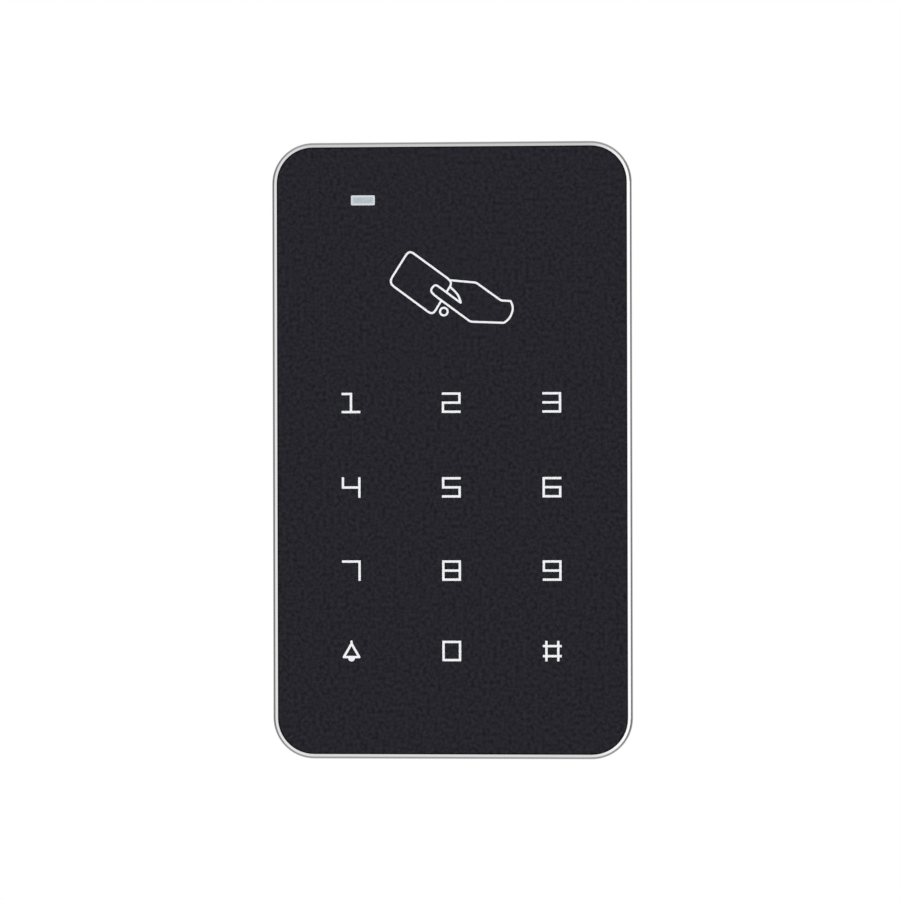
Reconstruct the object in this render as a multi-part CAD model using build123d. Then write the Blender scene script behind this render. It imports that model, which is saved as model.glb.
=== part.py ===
from build123d import *
import math
import os

# Keypad access reader, in millimetres.  X is right, Z is up, and the reader's face looks along -Y.
# The origin is the centre of the wall plate's back face, so the wall is the plane Y = 0.
# A "depth" below is a distance out from the wall, that is -Y.

# ---- Overall size ----
BODY_W = 70.0
BODY_H = 120.0
BODY_DEPTH = 18.0
BODY_R = 8.0
RIM = 1.0

# ---- Wall plate ----
SHEET = 1.5
SHEET_EDGE = 0.15
PLATE_W = 60.0
PLATE_BOTTOM = -50.0
PLATE_R = 4.0
CABLE_HOLE_W = 34.0
CABLE_HOLE_H = 26.0
CABLE_Z = -18.0
GANG_PITCH = 83.3
GANG_SLOT_W = 4.5
GANG_SLOT_LENGTH = 8.0
CORNER_HOLE_D = 4.2
CORNER_PITCH_X = 48.0
CORNER_PITCH_Z = 84.0

# ---- Hooks and hinge line ----
PIVOT_DEPTH = 3.0
PIVOT_Z = 53.0
HOOK_EDGE_R = 1.0
HANG_GAP = 0.05
HOOK_TOP = PIVOT_Z - HOOK_EDGE_R - HANG_GAP
HOOK_X = 16.0
HOOK_W = 8.0
HOOK_REACH = 5.85
HOOK_LIP = 3.0
HOOK_SLOT_H = 5.0

# ---- Lock tab and lock screw ----
TAB_W = 11.0
TAB_REACH = 5.6
LOCK_DEPTH = 5.0
LOCK_THREAD_D = 3.0
LOCK_HEAD_D = 4.4
LOCK_INSERT_D = 4.2
LOCK_TIP_GAP = 0.15

# ---- Rear housing ----
HOUSING_W = BODY_W - 2 * RIM
HOUSING_H = BODY_H - 2 * RIM
HOUSING_R = BODY_R - RIM
BACK_NEAR = 2.0
BACK_FAR = 4.0
SKIRT_NEAR = 0.4
SKIRT_TOP = 50.0
SEAM = 8.0
TONGUE_END = 12.0
CAVITY_W = 63.0
CAVITY_H = 113.0
CAVITY_R = 4.5
BAY_W = 30.0
BAY_H = 16.0

# ---- Bezel frame ----
BEZEL_NEAR = 8.3
BEZEL_WALL = 1.8
LEDGE_NEAR = 14.5
LEDGE_FAR = 15.7
LEDGE_W = 2.5
REAR_CHAMFER = 0.3
CHAMFER_IN = 0.97
CHAMFER_DROP = 0.43
EDGE_ROUND = 0.8

# ---- Front panel ----
PANEL_GAP = 0.16
PANEL_NEAR = 16.0
INLAY = 0.2
DIFFUSER_NEAR = 15.5

# ---- Key field ----
COLUMN_PITCH = 19.51
MIDDLE_COLUMN_X = -0.11
ROW_Z = (9.27, -7.17, -23.33, -38.94)
KEY_ROWS = ("123", "456", "789", "B0#")
GLYPH_W = 3.65
GLYPH_H = 3.97
STROKE = 0.45
HASH_GAP_X = 2.3
HASH_GAP_Z = 1.95
SPRING_OD = 8.4
SPRING_WIRE = 0.5

# ---- Card symbol and status window ----
CARD_Z = 31.7
CARD_LINE = 0.39
STATUS_X = -17.2
STATUS_Z = 48.66
STATUS_W = 4.65
STATUS_H = 1.93

# ---- Circuit board ----
BOARD_NEAR = 11.5
BOARD_FAR = 13.1
BOARD_W = 61.0
BOARD_H = 110.0
BOARD_CORNER = 9.0
BOARD_SCREW_X = 27.0
BOARD_SCREW_Z = 42.0
CASE_SCREW_X = 28.5
CASE_SCREW_Z = 53.5

# ---- Tamper plunger and reset button ----
TAMPER_Z = 48.5
TAMPER_SHAFT_D = 3.0
TAMPER_POST_X = 6.0
RESET_Z = -29.0
RESET_D = 3.0


# ---- Helpers ----
def slab(outline, near, far):
    """A flat outline drawn in X and Z, filled from one depth to another."""
    return extrude(Plane.XZ.offset(near) * outline, amount=far - near)


def rounded(width, height, radius, x=0.0, z=0.0):
    return Pos(x, z) * RectangleRounded(width, height, radius)


def box(width, height, near, far, x=0.0, z=0.0):
    return slab(Pos(x, z) * Rectangle(width, height), near, far)


def rod(diameter, near, far, x=0.0, z=0.0):
    return slab(Pos(x, z) * Circle(diameter / 2), near, far)


def tube(outer, inner, near, far, x=0.0, z=0.0):
    return rod(outer, near, far, x, z) - rod(inner, near, far, x, z)


def mirrored_corners(x, z):
    return [(sx * x, sz * z) for sx in (-1, 1) for sz in (-1, 1)]


def save(node, *shapes):
    """Writes one node, however many separate solids it holds."""
    solids = [solid for shape in shapes for solid in shape.solids()]
    shape = solids[0] if len(solids) == 1 else Compound(children=solids)
    export_step(shape, "parts/" + node + ".step")


def key_centres():
    return [(MIDDLE_COLUMN_X + column * COLUMN_PITCH, z) for z in ROW_Z for column in (-1, 0, 1)]


# ---- Wall plate ----
def side_profile(points, width, x, radius):
    """A closed outline in depth and Z, rounded at its corners and spread along X."""
    wire = FilletPolyline(*[(-depth, z) for depth, z in points], radius=radius, close=True)
    return Pos(x - width / 2, 0, 0) * extrude(Plane.YZ * make_face(wire), amount=width)


def hook(x):
    low = HOOK_TOP - SHEET
    back = HOOK_REACH - SHEET
    top = HOOK_TOP + HOOK_LIP
    points = [
        (0, low - 4),
        (SHEET, low - 4),
        (SHEET, low),
        (HOOK_REACH, low),
        (HOOK_REACH, top),
        (back, top),
        (back, HOOK_TOP),
        (0, HOOK_TOP),
    ]
    return side_profile(points, HOOK_W, x, 0.4)


def lock_tab():
    points = [
        (0, PLATE_BOTTOM + 5),
        (SHEET, PLATE_BOTTOM + 5),
        (SHEET, PLATE_BOTTOM + SHEET),
        (TAB_REACH, PLATE_BOTTOM + SHEET),
        (TAB_REACH, PLATE_BOTTOM),
        (0, PLATE_BOTTOM),
    ]
    return side_profile(points, TAB_W, 0, 0.4)


def upright_slot(width, length, z):
    return Pos(0, z) * Rot(0, 0, 90) * SlotOverall(length, width)


def make_wall_plate():
    top = HOOK_TOP
    height = top - PLATE_BOTTOM
    middle = (top + PLATE_BOTTOM) / 2
    sheet = slab(rounded(PLATE_W, height, PLATE_R, z=middle), 0, SHEET)
    sheet -= slab(rounded(CABLE_HOLE_W, CABLE_HOLE_H, 4.0, z=CABLE_Z), -1, SHEET + 1)
    faces = sheet.faces().sort_by(Axis.Y)
    sheet = chamfer(faces[0].edges() + faces[-1].edges(), SHEET_EDGE)
    cuts = Sketch()
    for z in (-GANG_PITCH / 2, GANG_PITCH / 2):
        cuts += upright_slot(GANG_SLOT_W, GANG_SLOT_LENGTH, z)
    for x, z in mirrored_corners(CORNER_PITCH_X / 2, CORNER_PITCH_Z / 2):
        cuts += Pos(x, z) * Circle(CORNER_HOLE_D / 2)
    for x in (-HOOK_X, HOOK_X):
        cuts += Pos(x, top) * Rectangle(HOOK_W + 3, 6.5)
    cuts += Pos(0, PLATE_BOTTOM) * Rectangle(TAB_W + 3, 7)
    plate = sheet - slab(cuts, -1, SHEET + 1)
    return plate + hook(-HOOK_X) + hook(HOOK_X) + lock_tab()


# ---- Rear housing ----
def cavity(near, far):
    return slab(rounded(CAVITY_W, CAVITY_H, CAVITY_R), near, far)


def housing_shell():
    shell = slab(rounded(HOUSING_W, HOUSING_H, HOUSING_R), BACK_NEAR, SEAM)
    shell -= top_relief()
    tongue_w = BODY_W - 2 * BEZEL_WALL - 0.3
    tongue_h = BODY_H - 2 * BEZEL_WALL - 0.3
    shell += slab(rounded(tongue_w, tongue_h, 6.05), SEAM, TONGUE_END)
    shell -= cavity(BACK_FAR, TONGUE_END)
    skirt = slab(rounded(HOUSING_W, HOUSING_H, HOUSING_R), SKIRT_NEAR, BACK_NEAR)
    rear = skirt.faces().sort_by(Axis.Y)[-1]
    skirt = chamfer(rear.outer_wire().edges(), REAR_CHAMFER)
    skirt -= cavity(SKIRT_NEAR, BACK_NEAR)
    skirt -= box(BODY_W, 20, SKIRT_NEAR, BACK_NEAR, z=SKIRT_TOP + 10)
    return shell + skirt


def top_relief():
    """Slopes the top rear edge off, so it clears the wall as the reader swings up."""
    top = HOUSING_H / 2
    corners = [(-BACK_NEAR, top - 3.0), (-BACK_NEAR - 1.6, top + 0.1), (-BACK_NEAR, top + 0.1)]
    outline = make_face(Polyline(*corners, close=True))
    return extrude(Plane.YZ * outline, amount=BODY_W / 2, both=True)


def pocket(width, low, high, far, x=0.0):
    """A closed pocket inside the back wall, so the inside stays sealed."""
    wall = 1.2
    middle = (low + high) / 2
    outer = box(width + 2 * wall, high - low + 2 * wall, BACK_FAR, far + wall, x, middle)
    return outer - box(width, high - low, BACK_FAR, far, x, middle)


def hook_slot(x):
    """Cutter for a slot in the back wall; its upper edge is put back as a full round."""
    top = PIVOT_Z
    low = PIVOT_Z - HOOK_EDGE_R - HOOK_SLOT_H
    return box(HOOK_W + 0.6, top - low, BACK_NEAR - 0.1, BACK_FAR + 0.1, x, (top + low) / 2)


def hook_edge(x):
    return Pos(x, -PIVOT_DEPTH, PIVOT_Z) * Rot(0, 90, 0) * Cylinder(HOOK_EDGE_R, HOOK_W + 0.6)


def lock_boss():
    return box(9.0, 7.0, BACK_FAR, SEAM, z=-HOUSING_H / 2 + 3.5)


def lock_bore():
    """Counterbore for the head, a bore for the insert, and a clear way for the tip."""
    low = -HOUSING_H / 2
    cutter = upright_rod(LOCK_HEAD_D + 0.3, low - 1, low + 2.3)
    cutter += upright_rod(LOCK_INSERT_D, low, low + 7.0)
    return cutter + upright_rod(LOCK_THREAD_D + 0.4, low, low + 8.0)


def upright_rod(diameter, low, high, x=0.0, depth=LOCK_DEPTH):
    return Pos(x, -depth, (low + high) / 2) * Cylinder(diameter / 2, high - low)


def make_rear_housing():
    low_slot = PIVOT_Z - HOOK_EDGE_R - HOOK_SLOT_H
    housing = housing_shell()
    for x in (-HOOK_X, HOOK_X):
        housing += pocket(HOOK_W + 1.6, low_slot, PIVOT_Z + 3.2, 7.2, x)
        housing -= hook_slot(x)
        housing += hook_edge(x)
    housing += pocket(TAB_W + 1.6, -51.8, -46.0, 6.8)
    housing -= box(TAB_W + 1.6, 4.6, BACK_NEAR - 0.1, BACK_FAR + 0.1, z=PLATE_BOTTOM + 0.6)
    housing += lock_boss()
    housing -= lock_bore()
    for x, z in mirrored_corners(BOARD_SCREW_X, BOARD_SCREW_Z):
        housing += tube(5.6, 2.6, BACK_FAR, BOARD_NEAR, x, z)
    for x, z in mirrored_corners(CASE_SCREW_X, CASE_SCREW_Z):
        housing += rod(6.4, BACK_FAR, TONGUE_END, x, z)
        housing -= rod(2.7, BACK_NEAR - 0.1, TONGUE_END + 0.1, x, z)
        housing -= rod(5.0, BACK_NEAR - 0.1, 4.6, x, z)
    housing -= rod(TAMPER_SHAFT_D + 0.3, BACK_NEAR - 0.1, BACK_FAR + 0.1, 0, TAMPER_Z)
    housing += rod(5.6, BACK_FAR, 7.0, 0, RESET_Z)
    housing -= rod(RESET_D + 0.3, BACK_NEAR - 0.1, 7.1, 0, RESET_Z)
    housing -= slab(rounded(BAY_W, BAY_H, 2.0, z=CABLE_Z), BACK_NEAR - 0.1, BACK_FAR + 0.1)
    return housing


def make_housing_seal():
    ring = rounded(HOUSING_W - 0.4, HOUSING_H - 0.4, HOUSING_R - 0.2)
    ring -= rounded(BODY_W - 2 * BEZEL_WALL - 0.2, BODY_H - 2 * BEZEL_WALL - 0.2, 6.1)
    return slab(ring, SEAM, BEZEL_NEAR)


def pan_screw(diameter, head_d, head_near, head_far, tip, x, z):
    """A cross-recessed pan head at one end of a plain shank, running outward in depth."""
    head = rod(head_d, head_near, head_far, x, z)
    head = chamfer(head.edges().sort_by(Axis.Y)[-1], 0.35)
    recess = box(head_d * 0.6, 0.6, head_near, head_near + 0.8, x, z)
    recess += box(0.6, head_d * 0.6, head_near, head_near + 0.8, x, z)
    return head - recess + rod(diameter, head_far, tip, x, z)


def make_housing_screws():
    return [pan_screw(2.5, 4.6, 2.7, 4.6, 15.2, x, z)
            for x, z in mirrored_corners(CASE_SCREW_X, CASE_SCREW_Z)]


def make_lock_insert():
    low = -HOUSING_H / 2
    sleeve = upright_rod(LOCK_INSERT_D, low + 2.3, low + 7.0)
    sleeve -= upright_rod(LOCK_THREAD_D + 0.1, low + 2.2, low + 7.1)
    return sleeve


def make_lock_screw():
    low = -HOUSING_H / 2 + 0.2
    tip = PLATE_BOTTOM - LOCK_TIP_GAP
    head = upright_rod(LOCK_HEAD_D, low, low + 2.0)
    head = chamfer(head.edges().sort_by(Axis.Z)[0], 0.3)
    head -= Pos(0, -LOCK_DEPTH, low) * extrude(RegularPolygon(1.25, 6), amount=1.3)
    shank = upright_rod(LOCK_THREAD_D, low + 2.0, tip)
    shank = chamfer(shank.edges().sort_by(Axis.Z)[-1], 0.7)
    return head + shank


# ---- Bezel frame ----
def bezel_block():
    block = slab(rounded(BODY_W, BODY_H, BODY_R), BEZEL_NEAR, BODY_DEPTH)
    face = block.faces().sort_by(Axis.Y)[0]
    block = chamfer(face.outer_wire().edges(), length=CHAMFER_DROP, length2=CHAMFER_IN)
    block = fillet([edge for edge in block.edges() if on_chamfer_foot(edge)], EDGE_ROUND)
    rear = block.faces().sort_by(Axis.Y)[-1]
    return chamfer(rear.outer_wire().edges(), REAR_CHAMFER)


def on_chamfer_foot(edge):
    """True for the edges where the bright chamfer meets the frame's sides."""
    return abs(edge.center().Y + BODY_DEPTH - CHAMFER_DROP) < 0.01


def make_bezel_frame():
    inner_w = BODY_W - 2 * BEZEL_WALL
    inner_h = BODY_H - 2 * BEZEL_WALL
    inner_r = BODY_R - BEZEL_WALL
    frame = bezel_block()
    frame -= slab(rounded(inner_w, inner_h, inner_r), BEZEL_NEAR, LEDGE_NEAR)
    window_w = inner_w - 2 * LEDGE_W
    window_h = inner_h - 2 * LEDGE_W
    frame -= slab(rounded(window_w, window_h, inner_r - LEDGE_W), LEDGE_NEAR, BODY_DEPTH)
    frame -= slab(rounded(HOUSING_W, HOUSING_H, HOUSING_R), LEDGE_FAR, BODY_DEPTH + 1)
    for x, z in mirrored_corners(CASE_SCREW_X, CASE_SCREW_Z):
        frame += rod(6.8, TONGUE_END + 0.1, LEDGE_FAR, x, z)
        frame -= rod(2.6, TONGUE_END, LEDGE_FAR + 0.1, x, z)
    return frame


# ---- Front panel ----
def panel_outline():
    width = HOUSING_W - 2 * PANEL_GAP
    height = HOUSING_H - 2 * PANEL_GAP
    return rounded(width, height, HOUSING_R - PANEL_GAP)


def status_outline(gap=0.0):
    return rounded(STATUS_W + gap, STATUS_H + gap, 0.25, STATUS_X, STATUS_Z)


def make_front_panel(inlays):
    panel = slab(panel_outline(), PANEL_NEAR, BODY_DEPTH)
    edges = panel.faces().sort_by(Axis.Y)[0].outer_wire().edges()
    panel = chamfer(edges, 0.1)
    panel -= slab(status_outline(), PANEL_NEAR - 1, BODY_DEPTH + 1)
    return panel - inlays


def make_status_window():
    light_pipe = slab(status_outline(), PANEL_NEAR, BODY_DEPTH)
    foot = slab(status_outline(-0.8), 14.2, PANEL_NEAR)
    return light_pipe + foot


def make_panel_adhesive():
    ring = rounded(HOUSING_W - 1.0, HOUSING_H - 1.0, HOUSING_R - 0.5)
    ring -= rounded(61.8, 111.8, 4.0)
    return slab(ring, LEDGE_FAR, PANEL_NEAR)


def make_diffuser_sheet():
    sheet = rounded(58.0, 84.0, 3.0, z=-7.0)
    return slab(sheet, DIFFUSER_NEAR, PANEL_NEAR)


# ---- Key legends ----
HALF_W = (GLYPH_W - STROKE) / 2
HALF_H = (GLYPH_H - STROKE) / 2
BARS = {
    "top": ((-HALF_W, HALF_H), (HALF_W, HALF_H)),
    "middle": ((-HALF_W, 0), (HALF_W, 0)),
    "bottom": ((-HALF_W, -HALF_H), (HALF_W, -HALF_H)),
    "upper_left": ((-HALF_W, 0), (-HALF_W, HALF_H)),
    "lower_left": ((-HALF_W, -HALF_H), (-HALF_W, 0)),
    "upper_right": ((HALF_W, 0), (HALF_W, HALF_H)),
    "lower_right": ((HALF_W, -HALF_H), (HALF_W, 0)),
}
LEFT = ("upper_left", "lower_left")
RIGHT = ("upper_right", "lower_right")
DIGITS = {
    "0": ("top", "bottom") + LEFT + RIGHT,
    "2": ("top", "upper_right", "middle", "lower_left", "bottom"),
    "3": ("top", "middle", "bottom") + RIGHT,
    "4": ("upper_left", "middle") + RIGHT,
    "5": ("top", "upper_left", "middle", "lower_right", "bottom"),
    "6": ("top", "middle", "bottom", "lower_right") + LEFT,
    "7": ("top",) + RIGHT,
    "8": ("top", "middle", "bottom") + LEFT + RIGHT,
    "9": ("top", "middle", "bottom", "upper_left") + RIGHT,
}


def bar(start, end, width=STROKE):
    """A square-ended stroke along X or Z between two points."""
    (x0, z0), (x1, z1) = start, end
    size_x = abs(x1 - x0) + width
    size_z = abs(z1 - z0) + width
    return Pos((x0 + x1) / 2, (z0 + z1) / 2) * Rectangle(size_x, size_z)


def digit(name):
    outline = Sketch()
    for part in DIGITS[name]:
        outline += bar(*BARS[part])
    return outline


def one():
    outline = bar((0, -HALF_H), (0, HALF_H))
    outline += bar((-HALF_W, HALF_H), (0, HALF_H))
    return outline + bar(*BARS["bottom"])


def hash_sign():
    outline = Sketch()
    for side in (-1, 1):
        x = side * HASH_GAP_X / 2
        z = side * HASH_GAP_Z / 2
        outline += bar((x, -HALF_H), (x, HALF_H))
        outline += bar((-HALF_W, z), (HALF_W, z))
    return outline


def bell():
    line = STROKE
    top = (0, 1.4)
    left = (-1.5, -1.2)
    right = (1.5, -1.2)
    outline = capsule(top, (0, 1.8), line)
    for start, end in ((top, left), (left, right), (right, top)):
        outline += capsule(start, end, line)
    clapper = Pos(0, -1.4) * Circle(0.66) & Pos(0, -1.9) * Rectangle(2, 1.0)
    return outline + clapper


def capsule(start, end, width):
    """A round-ended stroke between any two points."""
    (x0, z0), (x1, z1) = start, end
    length = math.hypot(x1 - x0, z1 - z0)
    angle = math.degrees(math.atan2(z1 - z0, x1 - x0))
    outline = Pos(x0, z0) * Circle(width / 2) + Pos(x1, z1) * Circle(width / 2)
    return outline + Pos((x0 + x1) / 2, (z0 + z1) / 2) * Rot(0, 0, angle) * Rectangle(length, width)


def glyph(name):
    if name == "1":
        return one()
    if name == "#":
        return hash_sign()
    if name == "B":
        return bell()
    return digit(name)


def make_key_legends():
    names = "".join(KEY_ROWS)
    return [slab(Pos(x, z) * glyph(name), BODY_DEPTH - INLAY, BODY_DEPTH)
            for name, (x, z) in zip(names, key_centres())]


# ---- Card symbol: a hand that holds a card up to the reader ----
def between(start, end, distance):
    """The point a given distance from start towards end, or half way if that is nearer."""
    (x0, z0), (x1, z1) = start, end
    share = min(0.5, distance / math.hypot(x1 - x0, z1 - z0))
    return x0 + share * (x1 - x0), z0 + share * (z1 - z0)


def softened(corners):
    """A path through corners of (x, z, cut), each rounded off over the distance cut."""
    points = [(x, z) for x, z, _ in corners]
    path = [points[0]]
    for index in range(1, len(corners) - 1):
        before, corner, after = points[index - 1:index + 2]
        cut = corners[index][2]
        start = between(corner, before, cut)
        end = between(corner, after, cut)
        path += [on_curve(start, corner, end, step / 4) for step in range(5)]
    return path + [points[-1]]


def on_curve(start, corner, end, t):
    shares = ((1 - t) ** 2, 2 * t * (1 - t), t ** 2)
    return tuple(sum(share * point[i] for share, point in zip(shares, (start, corner, end)))
                 for i in (0, 1))


def line_along(corners):
    path = softened(corners)
    outline = Sketch()
    for start, end in zip(path, path[1:]):
        outline += capsule(start, end, CARD_LINE)
    return outline


def card_outline():
    """The card's edge, broken where the finger lies over it."""
    under_finger = (-1.87, -2.77, 0)
    low_right = (-3.47, -5.42, 1.1)
    low_left = (-12.02, 0.92, 1.3)
    top_left = (-8.02, 7.22, 1.1)
    top_right = (0.47, 0.97, 1.3)
    at_finger = (-0.67, -0.8, 0)
    return line_along([under_finger, low_right, low_left, top_left, top_right, at_finger])


def hand_outline():
    knuckles = [(0.1, 1.32, 0), (5.0, 0.85, 0.4), (9.8, -2.64, 0.4), (11.7, -2.76, 0.15)]
    wrist = [(12.25, -4.2, 1.2), (11.52, -6.1, 1.0), (10.42, -6.98, 0.2)]
    finger = [(3.87, -6.73, 0.4), (-3.26, -1.46, 0.8), (-3.95, -0.6, 0.8), (-3.02, 0.55, 0.8)]
    palm = [(-2.2, 0.06, 0.4), (2.1, -3.15, 0.4), (1.45, -1.4, 0.8), (-0.05, 0.05, 0)]
    return line_along(knuckles + wrist + finger + palm)


def make_card_symbol():
    ring = Pos(-1.29, -4.74) * (Circle(0.74 + CARD_LINE / 2) - Circle(0.74 - CARD_LINE / 2))
    outline = card_outline() + hand_outline() + ring
    return slab(Pos(-0.2, CARD_Z) * outline, BODY_DEPTH - INLAY, BODY_DEPTH)


# ---- Circuit board and what is on its front ----
def board_outline():
    outline = Rectangle(BOARD_W, BOARD_H)
    outline = chamfer(outline.vertices(), BOARD_CORNER)
    for x, z in mirrored_corners(BOARD_SCREW_X, BOARD_SCREW_Z):
        outline -= Pos(x, z) * Circle(1.35)
    return outline


def make_board_screws():
    screws = []
    for x, z in mirrored_corners(BOARD_SCREW_X, BOARD_SCREW_Z):
        head = rod(4.5, BOARD_FAR, BOARD_FAR + 1.3, x, z)
        head = chamfer(head.edges().sort_by(Axis.Y)[0], 0.35)
        head -= box(2.6, 0.6, BOARD_FAR + 0.5, BOARD_FAR + 1.3, x, z)
        head -= box(0.6, 2.6, BOARD_FAR + 0.5, BOARD_FAR + 1.3, x, z)
        screws.append(head + rod(2.5, 7.0, BOARD_FAR, x, z))
    return screws


def coil_spring(outer, wire, near, far, turns, x, z):
    """A round-wire spring standing along Y between two depths."""
    height = far - near - wire - 0.02
    path = Helix(pitch=height / turns, height=height, radius=(outer - wire) / 2)
    section = Plane(origin=path @ 0, z_dir=path % 0) * Circle(wire / 2)
    spring = sweep(section, path=path, is_frenet=True)
    return Pos(x, -near - wire / 2 - 0.01, z) * Rot(90, 0, 0) * spring


def make_touch_springs():
    near = BOARD_FAR + 0.05
    return [coil_spring(SPRING_OD, SPRING_WIRE, near, DIFFUSER_NEAR, 2, x, z)
            for x, z in key_centres()]


def make_touch_pads():
    return [tube(9.2, 6.4, BOARD_FAR, BOARD_FAR + 0.05, x, z) for x, z in key_centres()]


def make_backlight_lamps():
    return [box(2.8, 1.4, BOARD_FAR, BOARD_FAR + 0.7, x, z) for x, z in key_centres()]


def make_status_lamp():
    return box(3.2, 1.6, BOARD_FAR, BOARD_FAR + 1.0, STATUS_X, STATUS_Z)


# ---- Back of the board: chips ----
CHIPS = {
    "controller_chip": [(10.0, 10.0, 1.5, -9.0, 24.0)],
    "touch_chips": [(7.6, 4.0, 1.4, -12.0, -3.5), (7.6, 4.0, 1.4, 12.0, -3.5)],
    "reader_chip": [(8.8, 4.0, 1.5, 10.0, 30.0)],
}
LEG_PITCH = 1.0


def chip(width, height, thick, x, z):
    body = box(width, height, BOARD_NEAR - thick, BOARD_NEAR - 0.1, x, z)
    body = chamfer(body.edges().group_by(Axis.Y)[-1], 0.3)
    corner = (x - width / 2 + 1.2, z + height / 2 - 1.2)
    return body - rod(0.9, BOARD_NEAR - thick, BOARD_NEAR - thick + 0.15, *corner)


def leg(x, z, along_x):
    width, height = (1.0, 0.4) if along_x else (0.4, 1.0)
    return box(width, height, BOARD_NEAR - 0.6, BOARD_NEAR, x, z)


def leg_row(length):
    count = int((length - 1.2) / LEG_PITCH) + 1
    return [(i - (count - 1) / 2) * LEG_PITCH for i in range(count)]


def chip_legs(width, height, x, z, all_round):
    legs = []
    for along in leg_row(width):
        for side in (-1, 1):
            legs.append(leg(x + along, z + side * (height / 2 + 0.5), False))
    if all_round:
        for along in leg_row(height):
            for side in (-1, 1):
                legs.append(leg(x + side * (width / 2 + 0.5), z + along, True))
    return legs


def save_chips():
    legs = []
    for node, chips in CHIPS.items():
        save(node, *[chip(*values) for values in chips])
        for width, height, _, x, z in chips:
            legs += chip_legs(width, height, x, z, node == "controller_chip")
    save("chip_leads", *legs)


# ---- Back of the board: power, sound and small parts ----
def make_voltage_regulator():
    body = box(6.5, 6.1, 9.2, BOARD_NEAR - 0.1, 21.0, -14.0)
    tab = box(5.3, 1.6, BOARD_NEAR - 0.6, BOARD_NEAR, 21.0, -10.15)
    body = chamfer(body.edges().group_by(Axis.Y)[-1], 0.35)
    legs = [box(0.8, 2.4, BOARD_NEAR - 0.6, BOARD_NEAR, 21.0 + side * 2.3, -18.25) for side in (-1, 1)]
    return [body, tab] + legs


def make_crystals():
    can = rounded(11.0, 4.4, 2.19, 4.0, 13.0)
    body = slab(can, 8.0, BOARD_NEAR)
    body = fillet(body.faces().sort_by(Axis.Y)[-1].edges(), 0.6)
    return [body, box(3.2, 1.5, 10.7, BOARD_NEAR, -9.0, 12.0)]


def make_capacitor_cans():
    cans = []
    for x, z in ((20.5, -27.0), (20.5, -35.5)):
        can = rod(6.3, 6.0, 10.9, x, z)
        can = fillet(can.edges().sort_by(Axis.Y)[-1], 0.5)
        base = box(6.6, 6.6, 10.9, BOARD_NEAR, x, z)
        cans += [can, chamfer(base.edges().filter_by(Axis.Y).sort_by(Axis.X)[:2], 1.2)]
    return cans


def make_power_inductor():
    body = slab(rounded(7.3, 7.3, 1.2, -20.5, -14.0), 8.2, BOARD_NEAR)
    well = tube(6.2, 4.6, 8.2, 8.7, -20.5, -14.0)
    return body - well


RESISTOR_ROWS = ((-16.5, 33.5, 6), (-5.2, -9.0, 5), (14.5, 20.0, 3), (-24.5, -24.0, 4), (8.0, -38.5, 3))
CAPACITOR_ROWS = ((-19.0, 16.5, 3), (-19.5, 9.5, 3), (9.5, 35.5, 3), (14.0, 8.5, 3), (-4.0, -38.5, 3))
SMALL_STEP = 2.6
RESISTOR_THICK = 0.45
CAPACITOR_THICK = 0.85
CHIP_W = 1.25
CHIP_BODY = 1.3
CHIP_END = 0.35


def small_part_spots(rows):
    return [(x + step * SMALL_STEP, z) for x, z, count in rows for step in range(count)]


def small_parts(rows, thick):
    return [box(CHIP_W, CHIP_BODY, BOARD_NEAR - thick, BOARD_NEAR, x, z)
            for x, z in small_part_spots(rows)]


def end_caps(rows, thick):
    """The tinned ends that each resistor and capacitor is soldered by."""
    reach = (CHIP_BODY + CHIP_END) / 2
    return [box(CHIP_W, CHIP_END, BOARD_NEAR - thick, BOARD_NEAR, x, z + side * reach)
            for x, z in small_part_spots(rows) for side in (-1, 1)]


def make_chip_ends():
    resistor_ends = end_caps(RESISTOR_ROWS, RESISTOR_THICK)
    return resistor_ends + end_caps(CAPACITOR_ROWS, CAPACITOR_THICK)


def make_protection_diodes():
    return [box(4.3, 2.6, 9.4, BOARD_NEAR, x, -28.5) for x in (-20.0, -12.5, 11.0)]


def make_buzzer():
    body = rod(12.0, 5.6, BOARD_NEAR, -18.5, -38.0)
    body = fillet(body.edges().sort_by(Axis.Y)[-1], 0.6)
    return body - rod(2.0, 5.6, 7.0, -18.5, -38.0)


# ---- Connector ----
PIN_PITCH = 2.5
PIN_COUNT = 8


def pin_xs():
    return [(i - (PIN_COUNT - 1) / 2) * PIN_PITCH for i in range(PIN_COUNT)]


def make_connector_header():
    header = box(22.4, 5.8, 4.6, BOARD_NEAR, z=CABLE_Z)
    header -= box(20.6, 4.2, 4.6, 10.5, z=CABLE_Z)
    for x in (-6.0, 6.0):
        header -= box(1.4, 1.2, 4.6, 8.0, x, CABLE_Z - 2.5)
    for x in pin_xs():
        header -= box(0.64, 0.64, 10.4, BOARD_NEAR, x, CABLE_Z)
    return header


def make_connector_pins():
    pins = []
    for x in pin_xs():
        pin = box(0.64, 0.64, 6.2, BOARD_NEAR, x, CABLE_Z)
        pins.append(chamfer(pin.edges().group_by(Axis.Y)[-1], 0.15))
    return pins


# ---- Antenna ----
COIL_W = 50.0
COIL_H = 36.0
COIL_BAND = 2.2
COIL_Z = 22.0
COIL_NEAR = 10.0
LEAD_D = 0.4


def make_antenna_coil():
    outline = rounded(COIL_W, COIL_H, 8.0, z=COIL_Z)
    outline -= rounded(COIL_W - 2 * COIL_BAND, COIL_H - 2 * COIL_BAND, 8.0 - COIL_BAND, z=COIL_Z)
    coil = slab(outline, COIL_NEAR, BOARD_NEAR)
    return fillet(coil.faces().sort_by(Axis.Y)[-1].edges(), 0.4)


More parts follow.
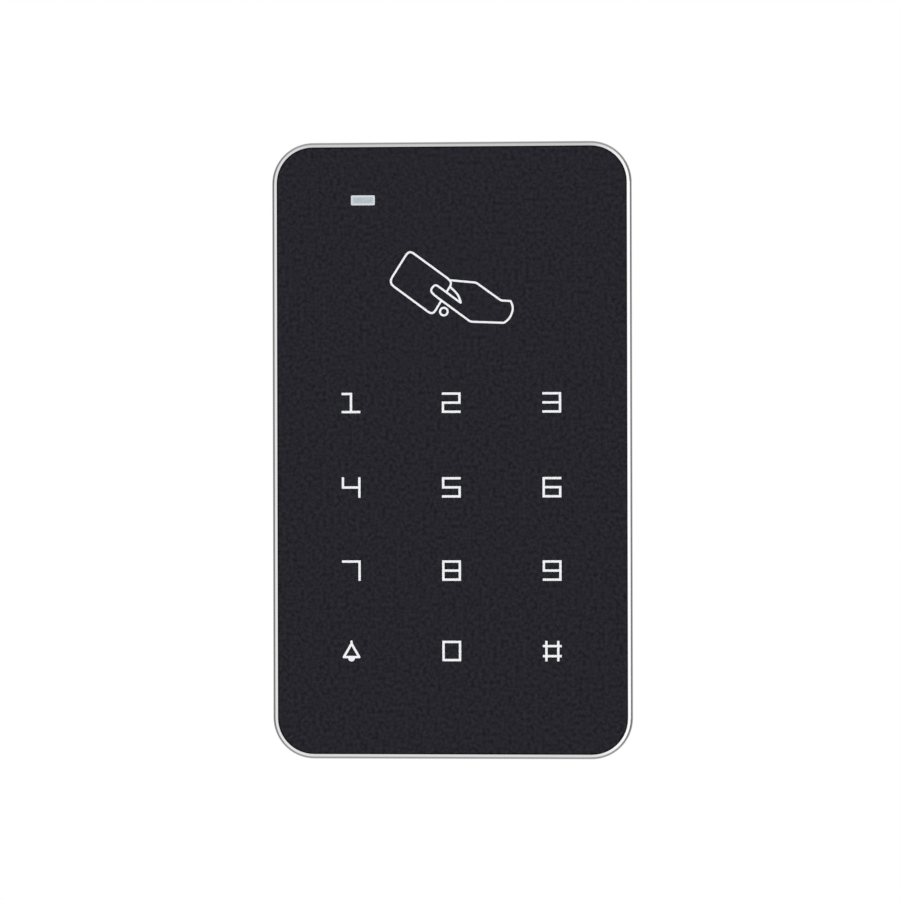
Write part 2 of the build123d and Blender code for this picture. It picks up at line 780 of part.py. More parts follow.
def make_antenna_leads():
    """Two wires from the coil's inner edge down to solder pads on the board."""
    inner = COIL_Z - COIL_H / 2 + COIL_BAND
    leads = []
    for x in (-21.0, 21.0):
        away = 1.5 if x < 0 else -1.5
        start = (x * 0.6, -(BOARD_NEAR - 0.75), inner)
        middle = (x * 0.6 + away * 0.3, -(BOARD_NEAR - 1.1), inner + 1.4)
        end = (x * 0.6 + away, -BOARD_NEAR, inner + 2.6)
        path = Spline(start, middle, end)
        section = Plane(origin=path @ 0, z_dir=path % 0) * Circle(LEAD_D / 2)
        wire = sweep(section, path=path)
        wire &= box(BODY_W, BODY_H, 0, BOARD_NEAR)
        wire -= make_antenna_coil()
        leads.append(wire)
    return leads


# ---- Tamper plunger and its switch ----
FLANGE_NEAR = 5.9
FLANGE_FAR = 6.7
SWITCH_TOP = 10.0


def make_tamper_plunger():
    """Its round tip stands on the wall plate; a side post works the switch."""
    shaft = rod(TAMPER_SHAFT_D, SHEET + 0.05, FLANGE_FAR, 0, TAMPER_Z)
    shaft = fillet(shaft.edges().sort_by(Axis.Y)[-1], 1.2)
    arm = Pos(TAMPER_POST_X / 2, TAMPER_Z) * SlotCenterToCenter(TAMPER_POST_X, 4.4)
    flange = slab(arm, FLANGE_NEAR, FLANGE_FAR)
    post = rod(1.6, FLANGE_FAR, SWITCH_TOP - 0.55, TAMPER_POST_X, TAMPER_Z)
    nose = rod(2.2, FLANGE_FAR, FLANGE_FAR + 1.2, 0, TAMPER_Z)
    return shaft + flange + post + nose


def make_tamper_spring():
    return coil_spring(3.6, 0.4, FLANGE_FAR + 0.02, BOARD_NEAR - 0.02, 4, 0, TAMPER_Z)


def push_switch(x, z):
    body = box(4.5, 4.5, SWITCH_TOP, BOARD_NEAR, x, z)
    button = rod(2.2, SWITCH_TOP - 0.5, SWITCH_TOP, x, z)
    legs = [box(0.7, 1.0, BOARD_NEAR - 0.4, BOARD_NEAR, x + dx, z + dz * 2.75)
            for dx in (-1.6, 1.6) for dz in (-1, 1)]
    return [body + button] + legs


# ---- Reset button ----
def make_reset_button():
    rear = BACK_NEAR + 0.3
    button = rod(RESET_D, rear, 8.0, 0, RESET_Z)
    button = fillet(button.edges().sort_by(Axis.Y)[-1], 0.5)
    flange = rod(4.4, 7.1, 8.0, 0, RESET_Z)
    nose = rod(1.8, 8.0, SWITCH_TOP - 1.1, 0, RESET_Z)
    return button + flange + nose


# ---- Write every node ----
os.makedirs("parts", exist_ok=True)

legends = make_key_legends()
symbol = make_card_symbol()
save("key_legends", *legends)
save("card_symbol", symbol)
save("front_panel", make_front_panel(legends + [symbol]))
save("status_window", make_status_window())
save("panel_adhesive", make_panel_adhesive())
save("diffuser_sheet", make_diffuser_sheet())
save("bezel_frame", make_bezel_frame())

save("wall_plate", make_wall_plate())
save("rear_housing", make_rear_housing())
save("housing_seal", make_housing_seal())
save("housing_screws", *make_housing_screws())
save("lock_insert", make_lock_insert())
save("lock_screw", make_lock_screw())

save("circuit_board", slab(board_outline(), BOARD_NEAR, BOARD_FAR))
save("board_screws", *make_board_screws())
save("touch_springs", *make_touch_springs())
save("touch_pads", *make_touch_pads())
save("backlight_lamps", *make_backlight_lamps())
save("status_lamp", make_status_lamp())

save_chips()
save("voltage_regulator", *make_voltage_regulator())
save("crystals", *make_crystals())
save("capacitor_cans", *make_capacitor_cans())
save("power_inductor", make_power_inductor())
save("chip_resistors", *small_parts(RESISTOR_ROWS, RESISTOR_THICK))
save("chip_capacitors", *small_parts(CAPACITOR_ROWS, CAPACITOR_THICK))
save("chip_ends", *make_chip_ends())
save("protection_diodes", *make_protection_diodes())
save("buzzer", make_buzzer())
save("connector_header", make_connector_header())
save("connector_pins", *make_connector_pins())
save("antenna_coil", make_antenna_coil())
save("antenna_leads", *make_antenna_leads())
save("tamper_plunger", make_tamper_plunger())
save("tamper_spring", make_tamper_spring())
save("tamper_switch", *push_switch(TAMPER_POST_X, TAMPER_Z))
save("reset_switch", *push_switch(0, RESET_Z))
save("reset_button", make_reset_button())
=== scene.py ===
import math

import bpy
from mathutils import Euler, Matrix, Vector


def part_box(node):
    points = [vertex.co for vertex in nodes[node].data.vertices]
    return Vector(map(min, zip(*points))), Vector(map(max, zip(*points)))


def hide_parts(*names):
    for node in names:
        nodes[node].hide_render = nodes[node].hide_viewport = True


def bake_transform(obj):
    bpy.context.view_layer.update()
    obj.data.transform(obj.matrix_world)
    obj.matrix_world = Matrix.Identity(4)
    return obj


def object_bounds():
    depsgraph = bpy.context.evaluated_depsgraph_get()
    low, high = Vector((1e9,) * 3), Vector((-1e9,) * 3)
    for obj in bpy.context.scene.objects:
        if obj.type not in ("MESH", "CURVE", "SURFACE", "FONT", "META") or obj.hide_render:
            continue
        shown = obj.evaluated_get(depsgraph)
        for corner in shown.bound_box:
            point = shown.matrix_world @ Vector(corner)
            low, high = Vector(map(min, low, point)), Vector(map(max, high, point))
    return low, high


# Looks for the keypad access reader.  Metres, in the CAD model's own frame: X right, Z up,
# the reader's face looks along -Y and the wall is the plane Y = 0.

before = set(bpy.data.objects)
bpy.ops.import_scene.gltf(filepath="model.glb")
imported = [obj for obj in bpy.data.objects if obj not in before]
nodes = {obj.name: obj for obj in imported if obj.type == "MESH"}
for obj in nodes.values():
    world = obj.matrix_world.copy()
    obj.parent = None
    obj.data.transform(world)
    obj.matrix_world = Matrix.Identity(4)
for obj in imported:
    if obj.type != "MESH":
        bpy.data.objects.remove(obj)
cad_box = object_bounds()

# ---- Places the materials need to know ----
FACE_Y = cad_box[0].y
CUT_EDGE_Y = FACE_Y + 0.0009
CHIP_BASE_Y = -0.0109
SCREW_HEAD_HEIGHT = 0.0020
SCREW_HEAD_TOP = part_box("lock_screw")[0].z + SCREW_HEAD_HEIGHT
STATUS_LOW, STATUS_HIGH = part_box("status_window")

# ---- Patterns, in millimetres; a share is how much of a pitch is covered ----
THREAD_PITCH = 0.5
TRACK_PITCH = 1.3
TRACK_SHARE = 0.30
BLOCK_SIZE = 7.0
VIA_PITCH = 4.2
VIA_SHARE = 0.06
SOFT_EDGE = 0.015
THROUGH_BOARD = (1, 100, 1)

# ---- Colour of solder and tinned metal ----
TIN = (0.66, 0.66, 0.65)

# ---- Camera, as the photograph was taken ----
CAMERA_DISTANCE = 0.5
CAMERA_AZIMUTH = 2.6
CAMERA_ROLL = 0.14
AIM_X = -0.00036
AIM_Z = 0.00008
SENSOR = 36.0
LENS = 103.02

# ---- Studio: each glow is how bright that part of the room is, with white as 1.  The ring's
# inside and outside are degrees away from straight ahead of the reader ----
FLOOR_Z = -0.32
FLOOR_RADIUS = 1.1
FLOOR_GLOW = 0.56
ROOM_GLOW = 0.19
BACKDROP_GLOW = 0.50
UPRIGHT_GLOW = 0.14
RING_GLOW = 0.38
RING_SIDE_GLOW = 0.40
RING_RIGHT_GLOW = 0.14
RING_LOW_GLOW = 0.06
RING_INSIDE = 36.0
RING_OUTSIDE = 61.0
RING_SOFTNESS = 0.02
FULL_LEAN = 0.8
SLOPE_START = 0.3
SLOPE_END = 0.9
FILL_GLOW = 2.7
FILL_SIZE = 1.0
FILL_PLACE = (0, -1.2, 0.5)


# ---------------------------------------------------------------------------
# Material helpers
# ---------------------------------------------------------------------------
class Surface:
    """A Principled material, with short ways to add textures placed in millimetres."""

    def __init__(self, name, roughness=0.5, metallic=0.0, specular=0.5, coat=0.0):
        self.material = bpy.data.materials.new(name)
        self.material.use_nodes = True
        self.tree = self.material.node_tree
        self.shader = self.tree.nodes["Principled BSDF"]
        self.shader.inputs["Roughness"].default_value = roughness
        self.shader.inputs["Metallic"].default_value = metallic
        self.shader.inputs["Specular IOR Level"].default_value = specular
        self.shader.inputs["Coat Weight"].default_value = coat
        self.place = self.node("ShaderNodeTexCoord")

    def node(self, kind, **settings):
        made = self.tree.nodes.new(kind)
        for key, value in settings.items():
            setattr(made, key, value)
        return made

    def join(self, source, target):
        self.tree.links.new(source, target)

    def mapped(self, stretch):
        """Object coordinates in millimetres, divided by stretch along each axis."""
        mapping = self.node("ShaderNodeMapping")
        mapping.inputs["Scale"].default_value = [1000.0 / s for s in stretch]
        self.join(self.place.outputs["Object"], mapping.inputs["Vector"])
        return mapping.outputs["Vector"]

    def noise(self, size, detail=2.0, stretch=(1, 1, 1)):
        """Cloudy noise whose features are about size millimetres across."""
        texture = self.node("ShaderNodeTexNoise")
        texture.inputs["Scale"].default_value = 1.0 / size
        texture.inputs["Detail"].default_value = detail
        self.join(self.mapped(stretch), texture.inputs["Vector"])
        return texture.outputs["Fac"]

    def cells(self, size, stretch=(1, 1, 1)):
        """Distance to the middle of the nearest cell; cells are about size millimetres across."""
        texture = self.node("ShaderNodeTexVoronoi")
        texture.inputs["Scale"].default_value = 1.0 / size
        self.join(self.mapped(stretch), texture.inputs["Vector"])
        return texture.outputs["Distance"]

    def span(self, value, low, high, to_low=0.0, to_high=1.0):
        """value from low..high spread over to_low..to_high, and held at the ends."""
        ranged = self.node("ShaderNodeMapRange", interpolation_type="SMOOTHSTEP")
        ranged.inputs["From Min"].default_value = low
        ranged.inputs["From Max"].default_value = high
        ranged.inputs["To Min"].default_value = to_low
        ranged.inputs["To Max"].default_value = to_high
        self.join(value, ranged.inputs["Value"])
        return ranged.outputs["Result"]

    def maths(self, operation, first, second=0.0):
        step = self.node("ShaderNodeMath", operation=operation)
        for socket, value in zip(step.inputs, (first, second)):
            if isinstance(value, (int, float)):
                socket.default_value = value
            else:
                self.join(value, socket)
        return step.outputs["Value"]

    def axis(self, name):
        """One object coordinate, in metres."""
        split = self.node("ShaderNodeSeparateXYZ")
        self.join(self.place.outputs["Object"], split.inputs["Vector"])
        return split.outputs[name]

    def facing(self, name):
        """One part of the surface's own direction, so it turns with the piece."""
        split = self.node("ShaderNodeSeparateXYZ")
        self.join(self.place.outputs["Normal"], split.inputs["Vector"])
        return split.outputs[name]

    def blend(self, share, first, second):
        """A colour between first and second; each is a colour or another node's output."""
        mix = self.node("ShaderNodeMix", data_type="RGBA")
        self.join(share, mix.inputs["Factor"])
        for socket, value in ((mix.inputs[6], first), (mix.inputs[7], second)):
            if isinstance(value, tuple):
                socket.default_value = (*value, 1.0)
            else:
                self.join(value, socket)
        return mix.outputs[2]

    def colour(self, source):
        self.join(source, self.shader.inputs["Base Color"])

    def roughness(self, source):
        self.join(source, self.shader.inputs["Roughness"])

    def metallic(self, source):
        self.join(source, self.shader.inputs["Metallic"])

    def bump(self, height, depth):
        """depth is how high the bumps stand, in millimetres."""
        bump = self.node("ShaderNodeBump")
        bump.inputs["Strength"].default_value = 1.0
        bump.inputs["Distance"].default_value = depth / 1000.0
        self.join(height, bump.inputs["Height"])
        self.join(bump.outputs["Normal"], self.shader.inputs["Normal"])


def scaled(colour, factor):
    return tuple(min(1.0, part * factor) for part in colour)


def paint(surface, *names):
    """Gives a CAD node the surface in place of whatever it came with."""
    for name in names:
        slots = nodes[name].data.materials
        slots.clear()
        slots.append(surface.material)


def moulded(name, colour, roughness=0.5, grain=0.35, depth=0.012):
    """Moulded plastic: spark-eroded grain, faint flow mottling and uneven gloss."""
    surface = Surface(name, roughness=roughness, specular=0.4)
    fine = surface.noise(grain, 3.0)
    flow = surface.noise(9.0, 2.0)
    tone = surface.maths("ADD", surface.span(fine, 0.3, 0.7, 0.0, 0.6),
                         surface.span(flow, 0.3, 0.7, 0.0, 0.4))
    surface.colour(surface.blend(tone, scaled(colour, 0.8), scaled(colour, 1.22)))
    surface.roughness(surface.span(flow, 0.3, 0.7, roughness - 0.06, roughness + 0.06))
    surface.bump(fine, depth)
    return surface


def plated(name, colour, roughness=0.3, size=0.4):
    """Metal with a fine grain and soft patches in its plating."""
    surface = Surface(name, roughness=roughness, metallic=1.0)
    grain = surface.noise(size, 4.0)
    patches = surface.noise(5.0, 3.0)
    worn = surface.span(patches, 0.3, 0.7)
    surface.colour(surface.blend(worn, scaled(colour, 0.88), scaled(colour, 1.06)))
    spread = surface.maths("MULTIPLY", surface.span(grain, 0.25, 0.75, 0.75, 1.3), roughness)
    surface.roughness(spread)
    surface.bump(grain, 0.002)
    return surface


# ---------------------------------------------------------------------------
# Outside: face
# ---------------------------------------------------------------------------
def panel_surface():
    """Matte bluish-black sheet with a soft speckle under a wider mottle."""
    surface = Surface("panel_black", roughness=0.52, specular=0.25)
    speckle = surface.noise(0.72, 0.5)
    mottle = surface.noise(2.6, 3.0)
    dark, light, cloud = (0.0048, 0.0044, 0.0084), (0.0171, 0.0161, 0.0229), (0.0123, 0.0115, 0.0168)
    tone = surface.blend(surface.span(speckle, 0.18, 0.82), dark, light)
    tone = surface.blend(surface.span(mottle, 0.35, 0.65, 0.0, 0.35), tone, cloud)
    surface.colour(tone)
    surface.roughness(surface.span(speckle, 0.3, 0.7, 0.48, 0.58))
    surface.bump(speckle, 0.004)
    return surface


def legend_surface():
    """White ink let into the panel, a little uneven, so its strokes aren't dead flat."""
    surface = Surface("legend_white", roughness=0.45)
    ink = surface.noise(0.5, 3.0)
    surface.colour(surface.blend(surface.span(ink, 0.3, 0.7), (0.76, 0.78, 0.80), (0.85, 0.86, 0.87)))
    surface.bump(ink, 0.003)
    return surface


def light_pipe_surface():
    """Frosted pale window, lighter along its rim where light from inside reaches its edges."""
    surface = Surface("light_pipe", roughness=0.32)
    middle = (STATUS_LOW + STATUS_HIGH) / 2
    half = (STATUS_HIGH - STATUS_LOW) / 2
    rims = []
    for axis in ("X", "Z"):
        index = "XYZ".index(axis)
        offset = surface.maths("SUBTRACT", surface.axis(axis), middle[index])
        distance = surface.maths("ABSOLUTE", offset)
        rims.append(surface.span(distance, half[index] - 0.00050, half[index] - 0.00025))
    haze = surface.noise(0.6, 2.0)
    core = surface.blend(surface.span(haze, 0.3, 0.7), (0.39, 0.432, 0.482), (0.437, 0.484, 0.534))
    surface.colour(surface.blend(surface.maths("MAXIMUM", *rims), core, (0.585, 0.635, 0.675)))
    surface.bump(haze, 0.003)
    return surface


def frame_surface():
    """Bead-blasted anodised sides, and a bright edge cut after the anodising."""
    surface = Surface("satin_aluminium", metallic=1.0)
    blast = surface.noise(0.22, 3.0)
    turned = surface.noise(0.05)
    drift = surface.noise(30.0)
    cut = surface.span(surface.axis("Y"), CUT_EDGE_Y, CUT_EDGE_Y - 0.00003)
    uncut = surface.maths("SUBTRACT", 1.0, cut)
    satin = surface.blend(surface.span(drift, 0.3, 0.7), (0.62, 0.63, 0.65), (0.65, 0.66, 0.68))
    satin = surface.blend(surface.span(blast, 0.35, 0.65, 0.0, 0.5), satin, (0.70, 0.71, 0.73))
    surface.colour(surface.blend(cut, satin, (0.93, 0.93, 0.94)))
    dull = surface.maths("MULTIPLY", surface.span(blast, 0.3, 0.7, 0.34, 0.46), uncut)
    bright = surface.maths("MULTIPLY", surface.span(turned, 0.3, 0.7, 0.08, 0.14), cut)
    surface.roughness(surface.maths("ADD", dull, bright))
    surface.bump(surface.maths("MULTIPLY", blast, uncut), 0.006)
    return surface


# ---------------------------------------------------------------------------
# Outside: wall plate and fixings
# ---------------------------------------------------------------------------
def plate_surface():
    """Zinc-plated sheet: fine rolling lines, a faint cloudy passivation and a few scuffs."""
    surface = Surface("zinc_steel", metallic=1.0)
    rolled = surface.noise(0.28, 4.0, (1, 1, 60))
    cloud = surface.noise(14.0, 5.0)
    stain = surface.noise(22.0, 3.0)
    scuff = surface.noise(1.4, 2.0, (9, 1, 1))
    colour = surface.blend(surface.span(cloud, 0.3, 0.7), (0.54, 0.55, 0.57), (0.61, 0.62, 0.64))
    colour = surface.blend(surface.span(rolled, 0.3, 0.7, 0.0, 0.5), colour, (0.68, 0.69, 0.70))
    colour = surface.blend(surface.span(stain, 0.55, 0.8, 0.0, 0.3), colour, (0.62, 0.60, 0.53))
    surface.colour(surface.blend(surface.span(scuff, 0.72, 0.78, 0.0, 0.4), colour, (0.80, 0.80, 0.81)))
    surface.roughness(surface.span(rolled, 0.25, 0.75, 0.26, 0.44))
    surface.bump(rolled, 0.004)
    return surface


def brass_surface():
    return plated("insert_brass", (0.72, 0.53, 0.23), roughness=0.28, size=0.3)


def lock_screw_surface():
    """Plated steel, worn bright on its head, with the thread standing up along its shank."""
    surface = Surface("lock_steel", metallic=1.0)
    wear = surface.noise(0.8, 4.0)
    surface.colour(surface.blend(surface.span(wear, 0.3, 0.7), (0.50, 0.50, 0.51), (0.68, 0.68, 0.69)))
    surface.roughness(surface.span(wear, 0.3, 0.7, 0.34, 0.22))
    turns = surface.maths("MULTIPLY", surface.axis("Z"), 2000.0 * math.pi / THREAD_PITCH)
    on_shank = surface.span(surface.axis("Z"), SCREW_HEAD_TOP, SCREW_HEAD_TOP + 0.0002)
    surface.bump(surface.maths("MULTIPLY", surface.maths("SINE", turns), on_shank), 0.10)
    return surface


# ---------------------------------------------------------------------------
# Inside: circuit board and parts
# ---------------------------------------------------------------------------
def stripes(surface, axis, pitch):
    """One where a straight track runs, zero between the tracks; pitch is in millimetres."""
    place = surface.maths("FRACT", surface.maths("MULTIPLY", surface.axis(axis), 1000.0 / pitch))
    away = surface.maths("ABSOLUTE", surface.maths("SUBTRACT", place, 0.5))
    edge = TRACK_SHARE / 2
    return surface.span(away, edge - 2 * SOFT_EDGE, edge + 2 * SOFT_EDGE, 1.0, 0.0)


def board_surface():
    """Green solder mask over straight copper tracks, which change direction from block to block."""
    surface = Surface("board_green", roughness=0.34, coat=0.2)
    blocks = surface.node("ShaderNodeTexVoronoi", distance="CHEBYCHEV")
    blocks.inputs["Scale"].default_value = 1.0 / BLOCK_SIZE
    surface.join(surface.mapped(THROUGH_BOARD), blocks.inputs["Vector"])
    parts = surface.node("ShaderNodeSeparateColor")
    surface.join(blocks.outputs["Color"], parts.inputs["Color"])
    across = surface.maths("GREATER_THAN", parts.outputs["Red"], 0.5)
    routed = surface.maths("GREATER_THAN", parts.outputs["Green"], 0.35)
    upright = surface.maths("MULTIPLY", stripes(surface, "X", TRACK_PITCH), across)
    level = surface.maths("MULTIPLY", stripes(surface, "Z", TRACK_PITCH),
                          surface.maths("SUBTRACT", 1.0, across))
    tracks = surface.maths("MULTIPLY", surface.maths("ADD", upright, level), routed)
    spots = surface.cells(VIA_PITCH, stretch=THROUGH_BOARD)
    vias = surface.span(spots, VIA_SHARE, VIA_SHARE + SOFT_EDGE, 1.0, 0.0)
    weave = surface.noise(0.3, 2.0, (1, 1, 6))
    mask = surface.blend(surface.span(weave, 0.3, 0.7), (0.010, 0.085, 0.032), (0.013, 0.105, 0.040))
    mask = surface.blend(tracks, mask, (0.026, 0.185, 0.068))
    mask = surface.blend(vias, mask, (0.50, 0.44, 0.27))
    on_edge = surface.span(surface.maths("ABSOLUTE", surface.facing("Y")), 0.5, 0.9, 1.0, 0.0)
    surface.colour(surface.blend(on_edge, mask, (0.34, 0.33, 0.16)))
    surface.bump(tracks, 0.03)
    return surface


def two_part_surface(name, upper, lower, upper_metal, lower_metal, roughness=0.35):
    """A board part whose foot, next to the board, isn't made of what its body is."""
    surface = Surface(name, roughness=roughness)
    foot = surface.span(surface.axis("Y"), CHIP_BASE_Y + 0.00001, CHIP_BASE_Y - 0.00001)
    wear = surface.noise(0.6, 3.0)
    body = surface.blend(surface.span(wear, 0.3, 0.7), scaled(upper, 0.85), scaled(upper, 1.1))
    surface.colour(surface.blend(foot, body, lower))
    surface.metallic(surface.span(foot, 0, 1, upper_metal, lower_metal))
    surface.roughness(surface.span(wear, 0.3, 0.7, roughness - 0.07, roughness + 0.07))
    surface.bump(wear, 0.003)
    return surface


def coil_surface():
    """Enamelled wire wound in layers: fine ridges round the band, copper under amber."""
    surface = Surface("coil_copper", roughness=0.3, metallic=0.9, coat=0.5)
    strands = surface.noise(0.18, 1.0)
    surface.colour(surface.blend(surface.span(strands, 0.3, 0.7), (0.38, 0.15, 0.05), (0.62, 0.28, 0.11)))
    surface.bump(strands, 0.02)
    return surface


# ---------------------------------------------------------------------------
# Give every node its surface
# ---------------------------------------------------------------------------
def paint_outside():
    paint(panel_surface(), "front_panel")
    paint(legend_surface(), "key_legends", "card_symbol")
    paint(light_pipe_surface(), "status_window")
    paint(frame_surface(), "bezel_frame")
    paint(moulded("housing_black", (0.021, 0.021, 0.023), 0.48, grain=0.32, depth=0.02), "rear_housing")
    paint(plate_surface(), "wall_plate")
    paint(moulded("seal_rubber", (0.020, 0.020, 0.021), 0.7, grain=0.2), "housing_seal")
    paint(plated("screw_steel", (0.58, 0.58, 0.59), 0.28, size=0.25), "housing_screws", "board_screws")
    paint(lock_screw_surface(), "lock_screw")
    paint(brass_surface(), "lock_insert")


def paint_inside():
    paint(moulded("adhesive", (0.022, 0.022, 0.022), 0.8, grain=0.6, depth=0.04), "panel_adhesive")
    paint(moulded("diffuser", (0.80, 0.81, 0.82), 0.6, grain=0.5, depth=0.004), "diffuser_sheet")
    paint(board_surface(), "circuit_board")
    paint(plated("pad_gold", (0.83, 0.62, 0.28), 0.26, size=0.3), "touch_pads", "connector_pins")
    paint(plated("spring_steel", (0.60, 0.60, 0.61), 0.22, size=0.2), "touch_springs", "tamper_spring")
    paint(moulded("lamp_body", (0.86, 0.80, 0.50), 0.25, grain=0.4, depth=0.004),
          "backlight_lamps", "status_lamp")
    paint(moulded("chip_black", (0.026, 0.026, 0.028), 0.55, grain=0.15, depth=0.008),
          "controller_chip", "touch_chips", "reader_chip")
    paint(plated("tinned_leads", TIN, 0.32, size=0.3), "chip_leads", "chip_ends")
    paint(two_part_surface("regulator_black", (0.028, 0.028, 0.03), TIN, 0.0, 1.0), "voltage_regulator")
    paint(plated("crystal_can", (0.64, 0.64, 0.64), 0.25, size=0.5), "crystals")
    paint(two_part_surface("capacitor_can", (0.66, 0.66, 0.68), (0.02, 0.02, 0.02), 1.0, 0.0),
          "capacitor_cans")
    paint(moulded("inductor_ferrite", (0.07, 0.07, 0.075), 0.6, grain=0.3, depth=0.02), "power_inductor")
    paint(moulded("resistor_black", (0.045, 0.045, 0.05), 0.3, grain=0.3, depth=0.004), "chip_resistors")
    paint(moulded("capacitor_tan", (0.40, 0.29, 0.18), 0.4, grain=0.3, depth=0.004), "chip_capacitors")
    paint(moulded("diode_black", (0.03, 0.03, 0.03), 0.45, grain=0.2, depth=0.006), "protection_diodes")
    paint(moulded("buzzer_black", (0.018, 0.018, 0.02), 0.4, grain=0.3, depth=0.008), "buzzer")
    paint(moulded("header_white", (0.74, 0.71, 0.62), 0.4, grain=0.4, depth=0.005), "connector_header")
    paint(coil_surface(), "antenna_coil", "antenna_leads")
    paint(moulded("plunger_white", (0.72, 0.72, 0.70), 0.35, grain=0.4, depth=0.004), "tamper_plunger")
    paint(moulded("switch_body", (0.05, 0.05, 0.052), 0.45, grain=0.25, depth=0.006),
          "tamper_switch", "reset_switch")
    paint(moulded("button_grey", (0.24, 0.25, 0.26), 0.42, grain=0.3, depth=0.006), "reset_button")


# ---------------------------------------------------------------------------
# Tamper spring: a copy of the CAD spring, standing in its place
# ---------------------------------------------------------------------------
def build_tamper_spring():
    """A copy of the spring's mesh, placed where the spring stands; the CAD spring itself is hidden."""
    coil = bpy.data.objects.new("tamper_spring_coil", nodes["tamper_spring"].data.copy())
    coil.matrix_world = nodes["tamper_spring"].matrix_world
    bpy.context.scene.collection.objects.link(coil)
    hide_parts("tamper_spring")
    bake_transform(coil)


# ---------------------------------------------------------------------------
# Studio
# ---------------------------------------------------------------------------
def build_floor():
    bpy.ops.mesh.primitive_circle_add(vertices=96, radius=FLOOR_RADIUS, fill_type="NGON",
                                      location=(0, 0, FLOOR_Z))
    floor = bpy.context.object
    floor.name = "studio_floor"
    surface = Surface("floor_pale", roughness=0.85, specular=0.2)
    haze = surface.noise(60.0, 3.0)
    surface.colour(surface.blend(surface.span(haze, 0.3, 0.7), (0.88, 0.88, 0.88), (0.91, 0.91, 0.91)))
    surface.shader.inputs["Emission Color"].default_value = (1, 1, 1, 1)
    surface.shader.inputs["Emission Strength"].default_value = FLOOR_GLOW
    floor.data.materials.append(surface.material)
    floor.visible_glossy = False


class Room:
    """The world's brightness, worked out from the direction that a ray leaves in."""

    def __init__(self, tree):
        self.tree = tree
        place = tree.nodes.new("ShaderNodeTexCoord")
        split = tree.nodes.new("ShaderNodeSeparateXYZ")
        tree.links.new(place.outputs["Generated"], split.inputs["Vector"])
        self.direction = split.outputs

    def ramp(self, value, low, high, to_high=1.0):
        ranged = self.tree.nodes.new("ShaderNodeMapRange")
        ranged.inputs["From Min"].default_value = low
        ranged.inputs["From Max"].default_value = high
        ranged.inputs["To Max"].default_value = to_high
        self.tree.links.new(value, ranged.inputs["Value"])
        return ranged.outputs["Result"]

    def maths(self, operation, first, second=0.0):
        step = self.tree.nodes.new("ShaderNodeMath")
        step.operation = operation
        for socket, value in zip(step.inputs, (first, second)):
            if isinstance(value, float):
                socket.default_value = value
            else:
                self.tree.links.new(value, socket)
        return step.outputs["Value"]

    def away(self, axis):
        """How far a direction leans along an axis, either way."""
        return self.maths("ABSOLUTE", self.direction[axis])

    def ring(self):
        """A band all round the camera, which the frame's bright edge mirrors; brightest at the right."""
        inside = -math.cos(math.radians(RING_INSIDE))
        outside = -math.cos(math.radians(RING_OUTSIDE))
        rise = self.ramp(self.direction["Y"], inside - RING_SOFTNESS, inside + RING_SOFTNESS)
        fall = self.ramp(self.direction["Y"], outside + RING_SOFTNESS, outside - RING_SOFTNESS)
        sideways = self.maths("MULTIPLY", self.away("X"), RING_SIDE_GLOW / FULL_LEAN)
        rightward = self.maths("MULTIPLY", self.direction["X"], RING_RIGHT_GLOW / FULL_LEAN)
        downward = self.maths("MULTIPLY", self.direction["Z"], -RING_LOW_GLOW / FULL_LEAN)
        slope = self.maths("ADD", self.maths("ADD", sideways, rightward), downward)
        glow = self.maths("ADD", slope, RING_GLOW)
        return self.maths("MULTIPLY", self.maths("MULTIPLY", rise, fall), glow)

    def brightness(self):
        backdrop = self.ramp(self.direction["Y"], SLOPE_START, SLOPE_END, BACKDROP_GLOW)
        upright = self.ramp(self.away("Z"), SLOPE_START, SLOPE_END, UPRIGHT_GLOW)
        ends = self.maths("ADD", backdrop, upright)
        return self.maths("ADD", self.maths("ADD", ends, self.ring()), ROOM_GLOW)


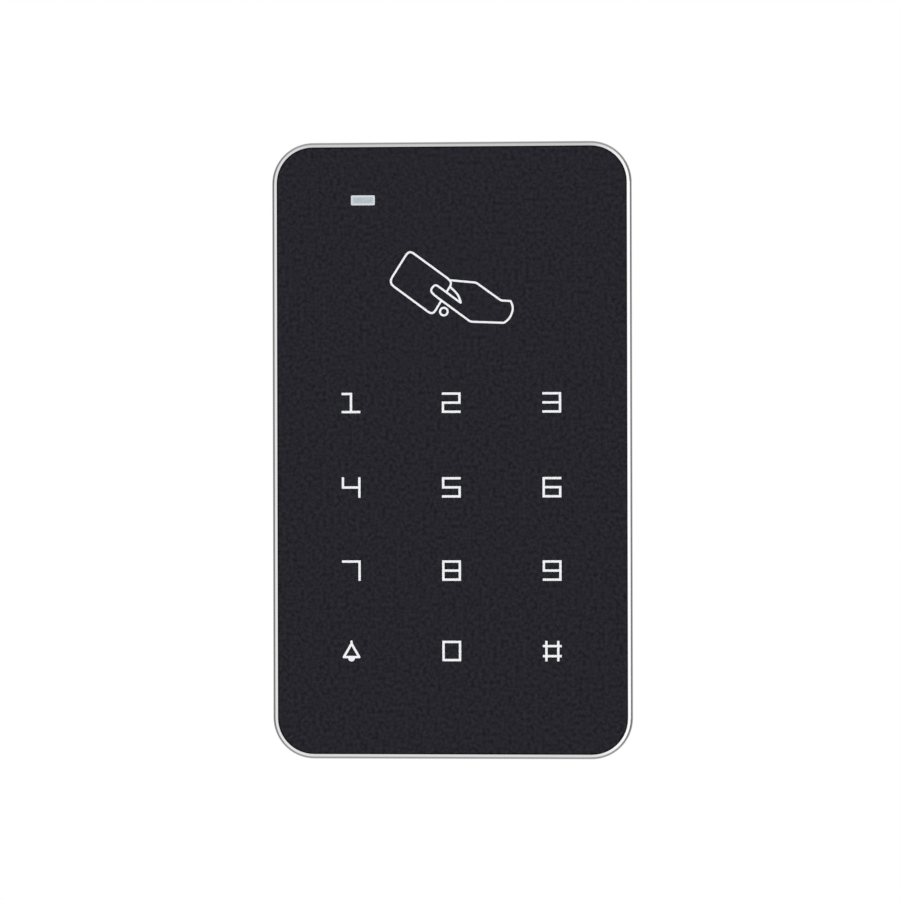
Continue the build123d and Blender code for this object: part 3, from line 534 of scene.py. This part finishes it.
def build_world():
    """White to the camera; to everything else a grey room with a soft ring of light."""
    world = bpy.data.worlds.new("studio")
    bpy.context.scene.world = world
    world.use_nodes = True
    tree = world.node_tree
    tree.nodes.clear()
    output = tree.nodes.new("ShaderNodeOutputWorld")
    mix = tree.nodes.new("ShaderNodeMixShader")
    seen = tree.nodes.new("ShaderNodeBackground")
    room = tree.nodes.new("ShaderNodeBackground")
    path = tree.nodes.new("ShaderNodeLightPath")
    seen.inputs["Color"].default_value = (1, 1, 1, 1)
    room.inputs["Color"].default_value = (1, 1, 1, 1)
    tree.links.new(Room(tree).brightness(), room.inputs["Strength"])
    tree.links.new(path.outputs["Is Camera Ray"], mix.inputs["Fac"])
    tree.links.new(room.outputs["Background"], mix.inputs[1])
    tree.links.new(seen.outputs["Background"], mix.inputs[2])
    tree.links.new(mix.outputs["Shader"], output.inputs["Surface"])


def build_fill():
    """A large soft light above the camera, kept out of reflections so that gloss stays calm."""
    data = bpy.data.lights.new("front_fill", "AREA")
    data.shape = "SQUARE"
    data.size = FILL_SIZE
    data.energy = FILL_GLOW * math.pi
    light = bpy.data.objects.new("front_fill", data)
    light.location = FILL_PLACE
    light.rotation_euler = (-light.location).to_track_quat("-Z", "Y").to_euler()
    light.visible_camera = False
    light.visible_glossy = False
    bpy.context.scene.collection.objects.link(light)


def build_camera():
    turn = math.radians(CAMERA_AZIMUTH)
    aim = Vector((AIM_X, FACE_Y, AIM_Z))
    data = bpy.data.cameras.new("camera")
    data.sensor_width = SENSOR
    data.lens = LENS
    camera = bpy.data.objects.new("camera", data)
    camera.location = Vector((math.sin(turn), -math.cos(turn), 0)) * CAMERA_DISTANCE + aim
    facing = (aim - camera.location).to_track_quat("-Z", "Y")
    roll = Euler((0, 0, -math.radians(CAMERA_ROLL))).to_quaternion()
    camera.rotation_euler = (facing @ roll).to_euler()
    bpy.context.scene.collection.objects.link(camera)
    bpy.context.scene.camera = camera


paint_outside()
paint_inside()
build_tamper_spring()
build_floor()
build_world()
build_fill()
build_camera()
bpy.context.scene.view_settings.view_transform = "Standard"
